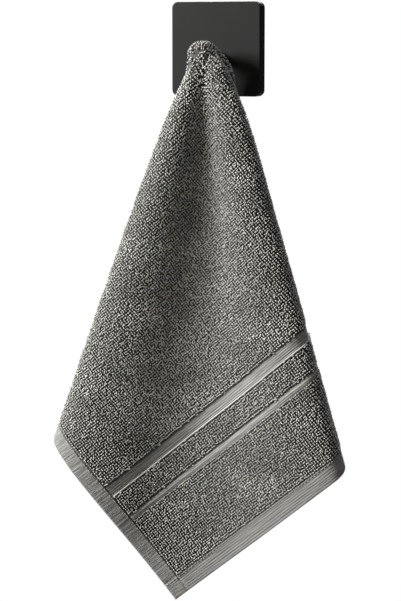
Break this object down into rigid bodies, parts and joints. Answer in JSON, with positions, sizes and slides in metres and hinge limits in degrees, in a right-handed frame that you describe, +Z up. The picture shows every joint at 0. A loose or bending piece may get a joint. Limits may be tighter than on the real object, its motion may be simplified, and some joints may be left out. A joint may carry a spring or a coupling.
{
  "type": "face towel hung on a wall hook",
  "caption": "Square terry face towel draped over the round peg of a square wall plate, hanging from a point near one corner with its front corner lowest.",
  "frame": {"origin": "middle of the wall plate's back face", "axes": "+Z up, +Y into the wall; the towel hangs on the -Y side"},
  "size_m": [0.1915, 0.0721, 0.3887],
  "materials": {
    "terry": "looped cotton terry with flat woven hems and border",
    "matte_black": "matte powder coat"
  },
  "bodies": {
    "root": {"towel": "terry", "hook_plate": "matte_black", "hook_peg": "matte_black"}
  },
  "joints": []
}
